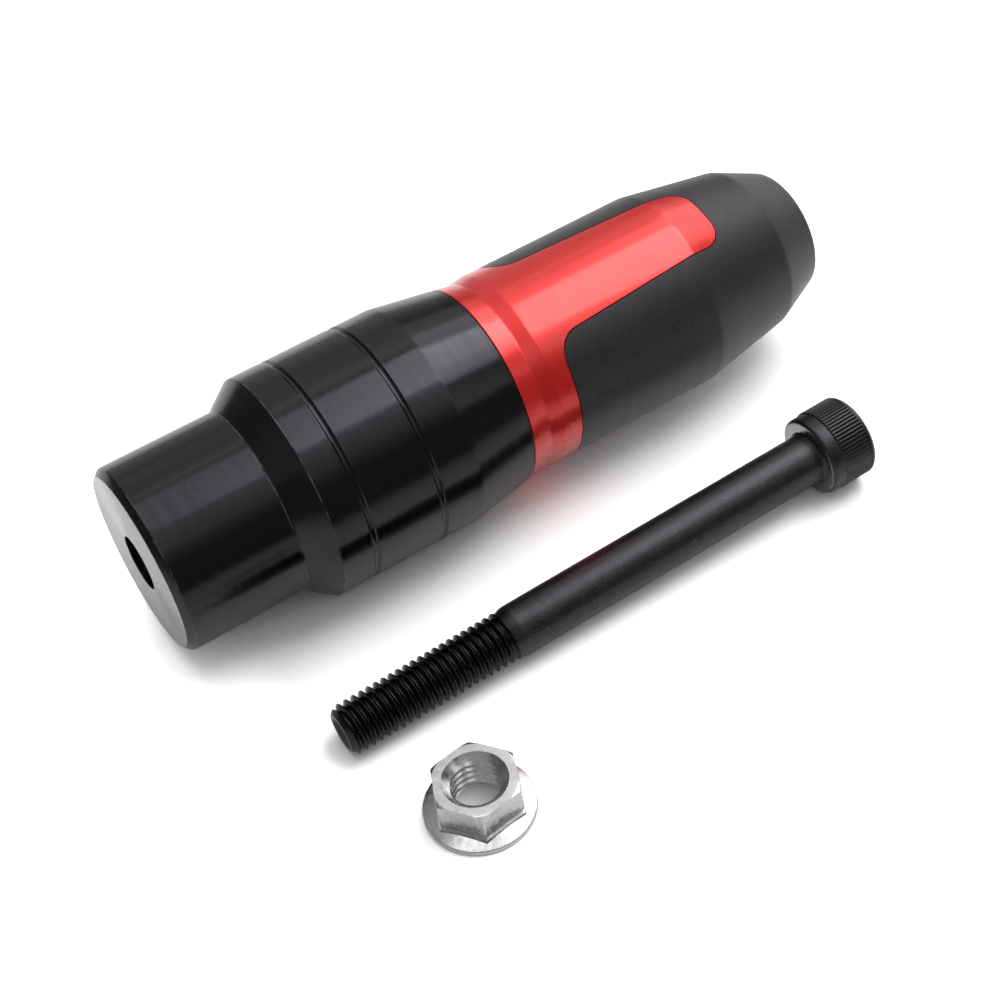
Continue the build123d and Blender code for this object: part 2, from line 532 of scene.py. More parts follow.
@dataclass(frozen=True)
class BlackAnodised:
    """Turned aluminium under a glossy black anodised layer."""

    colour: Colour = (0.0020, 0.0017, 0.0022)
    dusty: Colour = (0.0038, 0.0033, 0.0041)
    # The next colour, at the stations after it, is a painted highlight along the edge breaks of the
    # chamfer, the neck's end and the cone's end.
    wear_and_glint: Colour = (0.10, 0.095, 0.10)
    glint_stations: tuple[float, ...] = (1.35, 23.55, 29.1)
    polish: Span = (0.17, 0.22)
    mark_pitch: float = 0.22
    mark_depth: float = 0.0006

    def mix(self) -> Finish:
        """Mixes the finish.

        Returns:
            The material.
        """
        bench = ShaderBench("black_anodised")
        broad = bench.rings(1.7, 3.0)
        fine = bench.rings(self.mark_pitch)
        cloud = bench.grain(9.0, 4.0)
        black = bench.blend(cloud, self.colour, self.dusty)
        # Painted highlight: pale bands along the edge breaks, broken up in patches.
        glint_breaks = bench.remap(bench.grain(2.5, 3.0), (0.42, 0.60), (0.1, 1.0))
        edges = bench.sum_of("MULTIPLY", bench.bands(self.glint_stations, 0.16), glint_breaks)
        bench.drive("Base Color", bench.blend(edges, black, self.wear_and_glint))
        bench.drive("Roughness", bench.remap(broad, (0.3, 0.7), self.polish))
        bench.relief((fine, self.mark_depth), (bench.grain(0.25), 0.0012))
        bench.brush_round(0.88)
        bench.set(IOR=1.48, Specular_Tint=(0.96, 0.90, 1.0, 1.0))
        return bench.material


@dataclass(frozen=True)
class BareFace:
    """The mounting face, faced off after anodising: bare satin aluminium."""

    colour: Colour = (0.62, 0.61, 0.60)
    worn: Colour = (0.52, 0.51, 0.50)

    def mix(self) -> Finish:
        """Mixes the finish.

        Returns:
            The material.
        """
        bench = ShaderBench("bare_aluminium")
        bench.drive("Base Color", bench.blend(bench.grain(2.5, 5.0), self.worn, self.colour))
        bench.drive("Roughness", bench.remap(bench.rings(0.8, 3.0), (0.3, 0.7), (0.30, 0.40)))
        bench.relief((bench.rings(0.25), 0.002))
        bench.brush_round(0.88)
        bench.set(Metallic=1.0)
        return bench.material


@dataclass(frozen=True)
class RedAnodised:
    """Aluminium under a red anodised layer, drawn lengthwise along the fingers."""

    colour: Colour = (0.86, 0.022, 0.016)
    deep: Colour = (0.70, 0.014, 0.012)
    finger_root: float = 79.5

    def mix(self) -> Finish:
        """Mixes the finish.

        Returns:
            The material.
        """
        bench = ShaderBench("red_anodised")
        streaks = bench.grain(0.45, 3.0, (0.010, 1.0, 1.0))
        rings = bench.remap(bench.rings(0.3), (0.0, 1.0), (0.35, 0.65))
        along, _ = bench.axes()
        root = self.finger_root * MM
        on_finger = bench.remap(along, (root, root + 4 * MM), (0.0, 1.0))
        marks = bench.blend(on_finger, rings, streaks)
        shade = bench.remap(marks, (0.3, 0.7), (0.0, 1.0))
        bench.drive("Base Color", bench.blend(shade, self.deep, self.colour))
        bench.drive("Roughness", bench.remap(bench.grain(6.0, 4.0), (0.3, 0.7), (0.25, 0.32)))
        bench.relief((marks, 0.003), (bench.grain(0.3), 0.001))
        bench.set(Metallic=0.5, Coat_Weight=0.8, Coat_Roughness=0.16, Coat_IOR=1.45)
        return bench.material


@dataclass(frozen=True)
class NosePlastic:
    """Black engineering plastic with a soft sheen."""

    colour: Colour = (0.0060, 0.0052, 0.0066)
    pale: Colour = (0.0200, 0.0182, 0.0212)

    def mix(self) -> Finish:
        """Mixes the finish.

        Returns:
            The material.
        """
        bench = ShaderBench("black_plastic")
        fine = bench.remap(bench.grain(0.42, 2.0), (0.36, 0.64), (0.0, 1.0))
        cloud = bench.sum_of("MULTIPLY", bench.grain(5.0, 5.0), 0.3)
        shade = bench.sum_of("ADD", bench.sum_of("MULTIPLY", fine, 0.7), cloud)
        bench.drive("Base Color", bench.blend(shade, self.colour, self.pale))
        bench.drive("Roughness", bench.remap(bench.rings(2.5, 3.0), (0.3, 0.7), (0.44, 0.50)))
        bench.relief((bench.grain(0.22, 3.0), 0.020), (bench.rings(0.35), 0.001))
        bench.set(IOR=1.55, Specular_Tint=(0.98, 0.91, 1.0, 1.0))
        bench.set(Sheen_Weight=0.4, Sheen_Roughness=0.35)
        return bench.material


@dataclass(frozen=True)
class BlackOxide:
    """Forged steel under a dry black oxide with small pale specks."""

    lie: Matrix
    name: str = "black_oxide_steel"
    colour: Colour = (0.0055, 0.0050, 0.0060)
    # In this finish the next colour is paler rubbed wear, laid in random patches.
    wear_and_glint: Colour = (0.015, 0.014, 0.015)
    specks: Colour = (0.10, 0.095, 0.095)
    polish: Span = (0.28, 0.38)
    index: float = 1.5

    def mix(self) -> Finish:
        """Mixes the finish.

        Returns:
            The material.
        """
        bench = ShaderBench(self.name, self.lie)
        patches = bench.remap(bench.grain(2.2, 6.0), (0.42, 0.72), (0.0, 1.0))
        steel = bench.blend(patches, self.colour, self.wear_and_glint)
        specks = bench.remap(bench.grain(0.34, 1.0), (0.64, 0.84), (0.0, 1.0))
        bench.drive("Base Color", bench.blend(specks, steel, self.specks))
        bench.drive("Roughness", bench.remap(bench.grain(0.45, 3.0), (0.35, 0.65), self.polish))
        bench.relief((bench.grain(0.5, 4.0), 0.018), (bench.grain(0.2, 2.0), 0.022))
        bench.set(IOR=self.index, Specular_Tint=(0.97, 0.92, 1.0, 1.0))
        return bench.material


@dataclass(frozen=True)
class BrightZinc:
    """Bright zinc plate over cold-forged steel."""

    lie: Matrix | None = None
    name: str = "bright_zinc"
    colour: Colour = (0.76, 0.745, 0.745)
    dull: Colour = (0.58, 0.565, 0.57)
    polish: Span = (0.16, 0.38)

    def mix(self) -> Finish:
        """Mixes the finish.

        Returns:
            The material.
        """
        bench = ShaderBench(self.name, self.lie)
        bench.drive("Base Color", bench.blend(bench.grain(1.6, 5.0), self.dull, self.colour))
        bench.drive("Roughness", bench.remap(bench.grain(1.0, 4.0), (0.3, 0.7), self.polish))
        bench.relief((bench.grain(1.4, 3.0), 0.016), (bench.grain(0.3, 2.0), 0.004))
        bench.set(Metallic=1.0)
        return bench.material


@dataclass(frozen=True)
class WhiteTable:
    """The white table top: how bright it looks to its own light, in reflections and to the camera.

    To the camera it carries painted light to the left of the slider, which keeps the shadow there
    thin, and a painted shadow inside the nut's bore. In reflections it carries painted shade that
    darkens it away from the slider, towards the camera's side.
    """

    plain: float = 0.80
    seen: float = 1.72
    # Painted light to the camera, left of the slider, where it thins the shadow.
    painted_light_left: float = 3.3
    painted_light_span: Span = (-0.004, 0.014)
    # Painted shadow to the camera, in a disc inside the nut's bore.
    nut_place: Span = (0.0262, -0.06635)
    bore_shade: float = 0.52
    bore_reach: Span = (0.0044, 0.0052)
    mirrored: float = 1.06
    # Painted shade in reflections, darkening the table from the slider towards the camera's side.
    mirrored_painted_shade: float = 0.12
    painted_shade_span: Span = (-0.24, -0.04)

    def mix(self) -> Finish:
        """Mixes the finish.

        Returns:
            The material.
        """
        bench = ShaderBench("white_table")
        path = bench.add("ShaderNodeLightPath")
        split = bench.add("ShaderNodeSeparateXYZ")
        bench.link(bench.place, split.inputs[0])
        # Painted shade: in reflections the table darkens from the slider towards the camera's side.
        mirrored = bench.remap(split.outputs[1], self.painted_shade_span, (self.mirrored_painted_shade, self.mirrored))
        glossy, through = path.outputs["Is Glossy Ray"], path.outputs["Is Transmission Ray"]
        mirror = bench.sum_of("MAXIMUM", glossy, through)
        # Painted light: to the camera the table is brighter left of the slider, which thins the shadow
        # there.
        seen = bench.remap(split.outputs[0], self.painted_light_span, (self.painted_light_left, self.seen))
        # Painted shadow: to the camera the table is darker in a disc inside the nut's bore.
        steps = [bench.sum_of("SUBTRACT", split.outputs[axis], self.nut_place[axis]) for axis in (0, 1)]
        reach = bench.sum_of("ADD", *(bench.sum_of("MULTIPLY", step, step) for step in steps))
        near, far = self.bore_reach
        shade = bench.remap(reach, (near * near, far * far), (self.bore_shade, 1.0))
        seen = bench.sum_of("MULTIPLY", seen, shade)
        level = bench.blend(mirror, self.plain, mirrored)
        level = bench.blend(path.outputs["Is Camera Ray"], level, seen)
        paper = bench.remap(bench.grain(60.0, 2.0), (0.3, 0.7), (0.985, 1.0))
        bench.drive("Base Color", bench.sum_of("MULTIPLY", level, paper))
        bench.set(Roughness=0.9, Specular_IOR_Level=0.0)
        return bench.material


@dataclass
class TurnedBase:
    """Black turned base: neck, cone, grooved barrel, taper, and the register for the ring."""

    neck_r: float = 18.1
    neck_end: float = 23.7
    face_chamfer: float = 1.3
    cone_end: float = 29.0
    barrel_r: float = 22.0
    barrel_end: float = 58.2
    taper_end: float = 70.9
    taper_angle: float = 9.4
    groove_stations: tuple[float, ...] = (35.8, 50.0)
    groove_width: float = 1.3
    groove_depth: float = 0.45
    groove_arc: tuple[Row, ...] = (
        (-1.0, 0.0, 0.07), (-0.55, 0.75, 0.12), (0.0, 1.0, 0.2), (0.55, 0.75, 0.12), (1.0, 0.0, 0.07)
    )
    bore_r: float = 5.3
    register_r: float = 13.0
    register_end: float = 81.5
    spigot_r: float = 7.5
    spigot_end: float = 86.0
    edge_break: float = 0.12
    seam: float = 0.07
    seam_depth: float = 0.7
    face_skin: float = 0.11

    def taper_r(self, station: float) -> float:
        """Returns the radius of the taper that base and ring share."""
        return self.barrel_r - (station - self.barrel_end) * math.tan(math.radians(self.taper_angle))

    def barrel(self) -> Iterator[Row]:
        """Draws each shallow groove as a short arc.

        Yields:
            The barrel's corners in order.
        """
        for station in self.groove_stations:
            for side, share, ease in self.groove_arc:
                along = station + self.groove_width / 2 * side
                yield (along, self.barrel_r - self.groove_depth * share, ease)

    def build(self, black: Finish, bare: Finish) -> Piece:
        """Turns the base and leaves its mounting face bare.

        Args:
            black: The anodised finish.
            bare: The finish of the mounting face.

        Returns:
            The base.
        """
        end_r = self.taper_r(self.taper_end)
        lip = self.taper_end - self.seam
        piece = turn(
            "base_turned",
            (0.0, self.bore_r, 0.12),
            (0.0, self.neck_r - self.face_chamfer, 0.14),
            (self.face_chamfer, self.neck_r, 0.22),
            (self.neck_end, self.neck_r, 0.35),
            (self.cone_end, self.barrel_r, 0.22),
            *self.barrel(),
            (self.barrel_end, self.barrel_r, 0.3),
            (lip - self.edge_break, self.taper_r(lip - self.edge_break)),
            (lip, end_r - self.edge_break),
            (lip, end_r - self.seam_depth),
            (self.taper_end, end_r - self.seam_depth),
            (self.taper_end, self.register_r),
            (self.register_end, self.register_r),
            (self.register_end, self.spigot_r),
            (self.spigot_end, self.spigot_r, 0.3),
            (self.spigot_end, self.bore_r),
            steps=360,
        )
        even_shading(piece)
        give_finish(piece, black)
        skin = self.face_skin * MM
        face_with(
            piece, bare, lambda place, way: place.x < skin and distance_from_axis(place) > self.bore_r
        )
        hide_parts("base")
        return piece


@dataclass
class FingerPlan:
    """The ring's hub and one finger seen square on: straight sides that draw in to a round end."""

    hub_end: float = 81.5
    finger_end: float = 121.4
    root_w: float = 19.0
    end_w: float = 14.2
    root_fillet: float = 4.8
    end_fillet: float = 4.0
    roll: float = 13.0
    reach: float = 30.0

    def prism(self, name: str, gap: float) -> Piece:
        """Makes the milling cutter's path as a prism right through the slider.

        Args:
            name: The new object's name.
            gap: How far the prism stands out past the finger, mm.

        Returns:
            The prism, at the ring's roll.
        """
        root, end = self.root_w / 2 + gap, self.end_w / 2 + gap
        hub, tip, reach = self.hub_end + gap, self.finger_end + gap, self.reach
        lean = math.atan((self.root_w - self.end_w) / 2 / (self.finger_end - self.hub_end))
        quarter = (math.radians(90) - lean) / 2
        root_ease = (self.root_fillet - gap) * math.tan(quarter)
        end_ease = (self.end_fillet + gap) * math.tan(quarter)
        piece = draw_outline(
            name,
            (hub - reach, -reach),
            (hub, -reach),
            (hub, -root, root_ease),
            (tip, -end, end_ease),
            (tip, end, end_ease),
            (hub, root, root_ease),
            (hub, reach),
            (hub - reach, reach),
            sheet=Sheet.MILLING,
            facets=14,
        )
        with editing(piece):
            bpy.ops.mesh.select_all(action="SELECT")
            bpy.ops.mesh.edge_face_add()
            bpy.ops.transform.translate(value=(0, 0, -reach * MM))
            bpy.ops.mesh.extrude_region_move(TRANSFORM_OT_translate={"value": (0, 0, 2 * reach * MM)})
            bpy.ops.mesh.select_all(action="SELECT")
            bpy.ops.mesh.normals_make_consistent(inside=False)
        piece.rotation_euler = (math.radians(self.roll), 0, 0)
        take(piece)
        bpy.ops.object.transform_apply(location=False, rotation=True, scale=False)
        return piece


@dataclass
class AccentRing:
    """Red waisted ring with two opposite fingers that carry on the nose's own surface."""

    base: TurnedBase
    plan: FingerPlan
    waist: float = 75.0
    flare_end: float = 77.9
    nose_r: float = 19.7
    straight_end: float = 114.0
    shoulder_angle: float = 9.6
    finger_floor_r: float = 15.9
    bore_r: float = 13.05
    overrun: float = 1.0

    def build(self, red: Finish) -> Piece:
        """Turns the ring's blank and mills its fingers free.

        Args:
            red: The anodised finish.

        Returns:
            The ring.
        """
        start, brk = self.base.taper_end, self.base.edge_break
        lip = start + self.base.seam
        slope = math.tan(math.radians(self.shoulder_angle))
        end = self.plan.finger_end + self.overrun
        piece = turn(
            "accent_ring_milled",
            (start, self.bore_r),
            (start, self.base.taper_r(start) - self.base.seam_depth),
            (lip, self.base.taper_r(start) - self.base.seam_depth),
            (lip, self.base.taper_r(lip) - brk),
            (lip + brk, self.base.taper_r(lip + brk)),
            (self.waist, self.base.taper_r(self.waist), 0.25),
            (self.flare_end, self.nose_r, 0.25),
            (self.straight_end, self.nose_r, 0.5),
            (end, self.nose_r - (end - self.straight_end) * slope),
            (end, self.finger_floor_r),
            (self.plan.hub_end, self.finger_floor_r),
            (self.plan.hub_end, self.bore_r),
            steps=360,
        )
        use_tool(piece, self.plan.prism("finger_path", 0.0), Cut.KEEP)
        even_shading(piece)
        give_finish(piece, red)
        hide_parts("accent_ring")
        return piece


@dataclass
class Nose:
    """Plastic nose: two tapers, a rounded tip, the counterbore and the fingers' pockets."""

    plan: FingerPlan
    radius: float = 19.7
    straight_end: float = 114.0
    shoulder_end: float = 133.2
    shoulder_angle: float = 9.6
    tip: float = 143.0
    tip_r: float = 12.09
    counterbore_r: float = 9.25
    seat: float = 86.0
    recess_r: float = 9.05
    recess_depth: float = 1.6
    spigot_bore_r: float = 7.55
    pocket_r: float = 15.85
    gap: float = 0.2
    overrun: float = 5.0

    def build(self, plastic: Finish) -> Piece:
        """Turns the nose and mills the pockets that the fingers lie in.

        Args:
            plastic: The nose's finish.

        Returns:
            The nose.
        """
        start = self.plan.hub_end
        fall = math.tan(math.radians(self.shoulder_angle))
        shoulder_r = self.radius - (self.shoulder_end - self.straight_end) * fall
        floor = self.seat + self.recess_depth
        piece = turn(
            "nose_turned",
            (start, self.spigot_bore_r),
            (start, self.radius),
            (self.straight_end, self.radius, 0.5),
            (self.shoulder_end, shoulder_r, 0.4),
            (self.tip, self.tip_r, 0.9),
            (self.tip, self.counterbore_r, 0.6),
            (floor, self.counterbore_r),
            (floor, self.recess_r),
            (self.seat, self.recess_r),
            (self.seat, self.spigot_bore_r),
            steps=360,
            facets=6,
        )
        pockets = turn(
            "pocket_skin",
            (start - self.overrun, self.pocket_r),
            (self.tip, self.pocket_r),
            (self.tip, self.radius + self.overrun),
            (start - self.overrun, self.radius + self.overrun),
            steps=360,
        )
        use_tool(pockets, self.plan.prism("pocket_path", self.gap), Cut.KEEP)
        use_tool(piece, pockets, Cut.REMOVE)
        even_shading(piece)
        give_finish(piece, plastic)
        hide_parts("nose")
        return piece


@dataclass(frozen=True)
class ThreadForm:
    """A screw thread with rounded crests and roots, wound right-handed about X."""

    root_r: float
    crest_r: float
    pitch: float = 1.5
    crest_flat: float = 0.25
    root_flat: float = 0.25
    crest_round: float = 0.05
    root_round: float = 0.07
    steps: int = 96
    lead_turns: int = 3
    extra_turns: int = 2

    def wind(self, name: str, start: float, end: float, shift: float = 0.0) -> Piece:
        """Winds the thread as a rod that is cut off square at both ends.

        Args:
            name: The new object's name.
            start: Station of the thread's start, mm.
            end: Station of its end.
            shift: How far on along X the turns lie, mm.

        Returns:
            The threaded rod.
        """
        flank = (self.pitch - self.crest_flat - self.root_flat) / 2
        rise = start + shift - self.lead_turns * self.pitch + self.root_flat / 2
        first = rise - self.root_flat / 2
        rod = draw_outline(
            name,
            (first, self.root_r),
            (rise, self.root_r, self.root_round),
            (rise + flank, self.crest_r, self.crest_round),
            (rise + flank + self.crest_flat, self.crest_r, self.crest_round),
            (rise + 2 * flank + self.crest_flat, self.root_r, self.root_round),
            (first + self.pitch, self.root_r),
            closed=False,
            facets=2,
        )
        apply_modifier(
            rod,
            "SCREW",
            axis="X",
            screw_offset=self.pitch * MM,
            iterations=math.ceil((end - first) / self.pitch) + self.extra_turns,
            steps=self.steps,
            render_steps=self.steps,
        )
        with editing(rod):
            bpy.ops.mesh.select_all(action="SELECT")
            bpy.ops.mesh.remove_doubles(threshold=WELD)
            for station, outwards in ((start, (-1, 0, 0)), (end, (1, 0, 0))):
                bpy.ops.mesh.select_all(action="SELECT")
                bpy.ops.mesh.bisect(
                    plane_co=(station * MM, 0, 0),
                    plane_no=outwards,
                    use_fill=True,
                    clear_outer=True,
                    threshold=1e-7,
                )
            bpy.ops.mesh.select_all(action="SELECT")
            bpy.ops.mesh.normals_make_consistent(inside=False)
        return rod


@dataclass
class MountingScrew:
    """Socket head screw, which lies on the rims of its head and of its threaded end."""

    table_z: float = -22.0
    length: float = 101.6
    shank_r: float = 4.9
    thread: ThreadForm = ThreadForm(root_r=3.88, crest_r=4.75, crest_flat=0.14, root_flat=0.3)
    thread_end: float = 33.5
    thread_shift: float = 0.32
    thread_lap: float = 1.2
    runout: float = 2.0
    end_chamfer: float = 1.1
    dimple_depth: float = 0.95
    dimple_r: float = 1.75
    rim_r: float = 3.2
    head_r: float = 7.9
    head_h: float = 10.0
    top_chamfer: float = 0.8
    seat_round: float = 0.72
    fillet_length: float = 0.75
    fillet_arc: tuple[Span, ...] = ((0.35, 0.07), (0.62, 0.22))
    underhead: float = 0.4
    head_lap: float = 2.0
    band_r: float = 7.65
    band_h: float = 3.0
    teeth: int = 70
    groove_depth: float = 0.36
    flank_share: float = 0.16
    knurl_lead: float = 0.25
    knurl_margin: float = 0.45
    socket_af: float = 8.0
    socket_depth: float = 5.0
    drill_angle: float = 118.0
    drill_gap: float = 0.02
    end_x: float = 14.1
    end_y: float = -41.8
    yaw: float = -0.55

    def lie(self) -> Matrix:
        """Works out the tilt that rests both rims on the table.

        Returns:
            Where the screw lies, for a screw modelled along X from its threaded end.
        """
        rim_to_rim = self.length + self.band_h - self.end_chamfer
        tilt = math.atan((self.head_r - self.thread.crest_r) / rim_to_rim)
        end_z = self.table_z + self.thread.crest_r * math.cos(tilt) - self.end_chamfer * math.sin(tilt)
        place = Matrix.Translation(Vector((self.end_x, self.end_y, end_z)) * MM)
        return place @ Matrix.Rotation(math.radians(self.yaw), 4, "Z") @ Matrix.Rotation(-tilt, 4, "Y")

    def _thread(self) -> Piece:
        """Winds the thread and trims its first turns to the chamfered, dimpled end.

        Returns:
            The threaded rod.
        """
        end = self.thread_end + self.runout
        rod = self.thread.wind("mounting_screw_rolled", -0.5, end, self.thread_shift)
        start_r = self.thread.crest_r - self.end_chamfer
        far = end + 1.0
        limit = turn(
            "thread_limit",
            (self.dimple_depth, 0.0),
            (self.dimple_depth - 0.15, self.dimple_r, 0.5),
            (0.0, self.rim_r, 0.2),
            (0.0, start_r, 0.15),
            (self.end_chamfer + 0.3, self.thread.crest_r + 0.3),
            (far, self.thread.crest_r + 0.3),
            (far, 0.0),
            steps=96,
            facets=3,
        )
        use_tool(rod, limit, Cut.KEEP)
        return rod

    def _shank(self) -> Piece:
        """Turns the plain shank, from the thread's run-out to the fillet under the head.

        Returns:
            The shank.
        """
        fillet = self.length - self.fillet_length
        return turn(
            "screw_shank",
            (self.thread_end - self.thread_lap, 0.0),
            (self.thread_end - self.thread_lap, self.thread.root_r - 0.02),
            (self.thread_end + self.runout, self.shank_r, 0.4),
            (fillet, self.shank_r),
            *((fillet + step, self.shank_r + rise, 0.1) for step, rise in self.fillet_arc),
            (self.length, self.shank_r + self.underhead),
            (self.length + self.head_lap, self.shank_r + self.underhead),
            (self.length + self.head_lap, 0.0),
            steps=192,
        )

    def _head(self) -> Piece:
        """Turns the head with its smooth band and rolls the knurl into its side.

        Returns:
            The head.
        """
        top = self.length + self.head_h
        knurl_start = self.length + self.band_h
        knurl_end = top - self.top_chamfer - self.knurl_margin
        head = turn(
            "screw_head",
            (self.length, 0.0),
            (self.length, self.band_r, self.seat_round),
            (knurl_start - self.knurl_lead, self.band_r, 0.08),
            (knurl_start, self.head_r, 0.05),
            (knurl_start + self.knurl_lead, self.head_r),
            (knurl_end, self.head_r),
            (knurl_end + 0.12, self.head_r),
            (top - self.top_chamfer, self.head_r, 0.3),
            (top, self.head_r - self.top_chamfer, 0.45),
            (top, 0.0),
            steps=4 * self.teeth,
        )
        with editing(head):
            for line, share in ((2, 1.0), (1, self.flank_share), (3, self.flank_share)):
                depth = self.groove_depth * share
                self._roll(head, knurl_start + self.knurl_lead, knurl_end, line, depth)
        return head

    def _roll(self, head: Piece, start: float, end: float, phase: int, depth: float) -> None:
        """Presses every fourth line of the knurl inwards.

        Args:
            head: The edited head.
            start: Station where the knurl starts.
            end: Station where it ends.
            phase: Which of the four lines in a tooth is pressed.
            depth: How deep, mm.
        """
        step = math.tau / (4 * self.teeth)

        def in_line(place: Vector) -> bool:
            """Says whether a vertex lies on one of the lines.

            Args:
                place: Its place.

            Returns:
                Whether it does.
            """
            station = place.x / MM
            turned = round(math.atan2(place.y, place.z) / step) % 4
            return start - 0.01 < station < end + 0.01 and turned == phase

        pick(head, in_line)
        share = 1 - depth / self.head_r
        bpy.ops.transform.resize(value=(1, share, share), center_override=(0, 0, 0))

    def _socket(self) -> Piece:
        """Makes the hexagonal key hole with the drill's cone at its bottom.

        Returns:
            The tool that sinks it.
        """
        top = self.length + self.head_h
        floor = top - self.socket_depth
        socket = hexagonal_bar("key_hole", self.socket_af, floor, top + self.socket_depth)
        drill = self.socket_af / 2 / math.tan(math.radians(self.drill_angle / 2))
        cone_r = self.socket_af / 2 - self.drill_gap
        cone = turn(
            "drill_point",
            (floor - drill, 0.0),
            (floor - drill * self.drill_gap / (self.socket_af / 2), cone_r),
            (floor + self.drill_gap, cone_r),
            (floor + self.drill_gap, 0.0),
            steps=48,
        )
        use_tool(socket, cone, Cut.ADD)
        return socket

    def build(self, dry: Finish, oiled: Finish, worn: Finish) -> Piece:
        """Joins thread, shank and head, sinks the socket and lays the screw down.

        Args:
            dry: The finish of the shank and the head.
            oiled: The finish of the thread.
            worn: The finish of the head's seat.

        Returns:
            The screw.
        """
        screw = self._thread()
        use_tool(screw, self._shank(), Cut.ADD)
        use_tool(screw, self._head(), Cut.ADD)
        use_tool(screw, self._socket(), Cut.REMOVE)
        lay_down(screw, self.lie())
        even_shading(screw, 35)
        give_finish(screw, dry)
        back = self.lie().inverted()
        seat = self.length * MM

        def on_seat(place: Vector, way: Vector) -> bool:
            """Says whether a face belongs to the flat seat under the head."""
            return abs((back @ place).x - seat) < 0.03 * MM and (back.to_3x3() @ way).x < -0.95

        face_with(screw, oiled, lambda place, way: (back @ place).x < (self.thread_end + 0.4) * MM)
        face_with(screw, worn, on_seat)
        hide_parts("mounting_screw")
        return screw


@dataclass
class FlangeNut:
    """Hexagon nut on its own flange, with the thread cut right through."""

    table_z: float = -22.0
    across_flats: float = 14.0
    height: float = 8.0
    thread: ThreadForm = ThreadForm(
        root_r=4.25, crest_r=5.06, crest_flat=0.14, root_flat=0.42, root_round=0.18
    )
    mouth_r: float = 5.7
    mouth_foot_r: float = 5.15
    mouth_depth: float = 0.58
    seat_mouth_r: float = 5.1
    mouth_cone: float = 0.9
    chamfer_angle: float = 30.0
    face_r: float = 7.4
    flange_r: float = 9.7
    cone_r: float = 5.0
    rim_h: float = 1.1
    rim_round: float = 0.35
    slope_angle: float = 17.0
    skirt: float = 0.42
    skirt_start: float = 0.3
    skirt_rise: float = 0.35
    skirt_draw: float = 0.15
    edge_round: float = 0.3
    overrun: float = 0.7
    x: float = 26.2
    y: float = -66.35
    spin: float = 6.0

    def lie(self) -> Matrix:
        """Stands the nut up on its flange.

        Returns:
            Where it stands, for a nut modelled along X from its seat.
        """
        place = Matrix.Translation(Vector((self.x, self.y, self.table_z)) * MM)
        stand = Matrix.Rotation(math.radians(-90), 4, "Y")
        return place @ stand @ Matrix.Rotation(math.radians(self.spin + 30), 4, "X")

    def _foot(self, slope: float) -> Piece:
        """Makes the hexagon's foot, which stands out a little and draws in to its top.

        Args:
            slope: How steeply the flange rises.

        Returns:
            The foot.
        """
        foot_r = self.across_flats / 2 + self.skirt
        top = self.rim_h + (self.flange_r - foot_r) * slope + self.skirt_rise
        foot = hexagonal_bar("nut_foot", 2 * foot_r, self.skirt_start, top)
        with editing(foot):
            pick(foot, lambda place: place.x / MM > top - 0.01)
            share = 1 - self.skirt_draw / foot_r
            bpy.ops.transform.resize(value=(1, share, share), center_override=(top * MM, 0, 0))
        return foot

    def _blank(self) -> Piece:
        """Forges the nut's outside: chamfered hexagon, its foot and the sloping flange.

        Returns:
            The blank.
        """
        corner_r = self.across_flats / 2 / math.cos(math.radians(30))
        fall = math.tan(math.radians(self.chamfer_angle))
        slope = math.tan(math.radians(self.slope_angle))
        cone_top = self.rim_h + (self.flange_r - self.cone_r) * slope
        blank = hexagonal_bar("flange_nut_forged", self.across_flats, 0.4, self.height + 0.5)
        apply_modifier(
            blank,
            "BEVEL",
            width=self.edge_round * MM,
            segments=3,
            limit_method="ANGLE",
            angle_limit=math.radians(40),
        )
        cap = turn(
            "nut_cap",
            (0.2, 0.0),
            (0.2, corner_r + 1),
            (self.height - (corner_r + 1 - self.face_r) * fall, corner_r + 1),
            (self.height, self.face_r, 0.2),
            (self.height, 0.0),
            steps=192,
        )
        use_tool(blank, cap, Cut.KEEP)
        flange = turn(
            "nut_flange",
            (0.0, 0.0),
            (0.0, self.flange_r, self.rim_round),
            (self.rim_h, self.flange_r, self.rim_round * 0.6),
            (cone_top, self.cone_r),
            (cone_top, 0.0),
            steps=192,
        )
        use_tool(blank, self._foot(slope), Cut.ADD)
        use_tool(blank, flange, Cut.ADD)
        return blank

    def _tap(self) -> Piece:
        """Makes the tap, which leaves a countersink at both ends of the bore.

        Returns:
            The tap.
        """
        tap = self.thread.wind("nut_tap", -1.0, self.height + 1.0)
        core_r = self.thread.root_r - 0.1
        mouth_start = self.height - self.mouth_depth
        mouths = turn(
            "nut_mouths",
            (-self.overrun, 0.0),
            (-self.overrun, self.seat_mouth_r + self.overrun),
            (self.seat_mouth_r - core_r, core_r),
            (mouth_start - self.mouth_cone, core_r),
            (mouth_start, self.mouth_foot_r),
            (self.height, self.mouth_r),
            (self.height + self.overrun, self.mouth_r + 0.3),
            (self.height + self.overrun, 0.0),
            steps=96,
        )
        use_tool(tap, mouths, Cut.ADD)
        return tap

    def build(self, zinc: Finish, cut: Finish) -> Piece:
        """Taps the blank and stands it on its flange.

        Args:
            zinc: The nut's finish.
            cut: The duller finish of its bore.

        Returns:
            The nut.
        """
        nut = self._blank()
        use_tool(nut, self._tap(), Cut.REMOVE)
        lay_down(nut, self.lie())
        even_shading(nut, 28)
        give_finish(nut, zinc)
        back = self.lie().inverted()

        def in_bore(place: Vector, way: Vector) -> bool:
            """Says whether a face belongs to the bore.

            Args:
                place: Its centre.
                way: Its normal.

            Returns:
                Whether it does.
            """
            seen = back @ place
            inside = 0.05 < seen.x / MM < self.height - 0.05
            return inside and distance_from_axis(seen) < self.mouth_r - 0.02

        face_with(nut, cut, in_bore)
        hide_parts("flange_nut")
        return nut


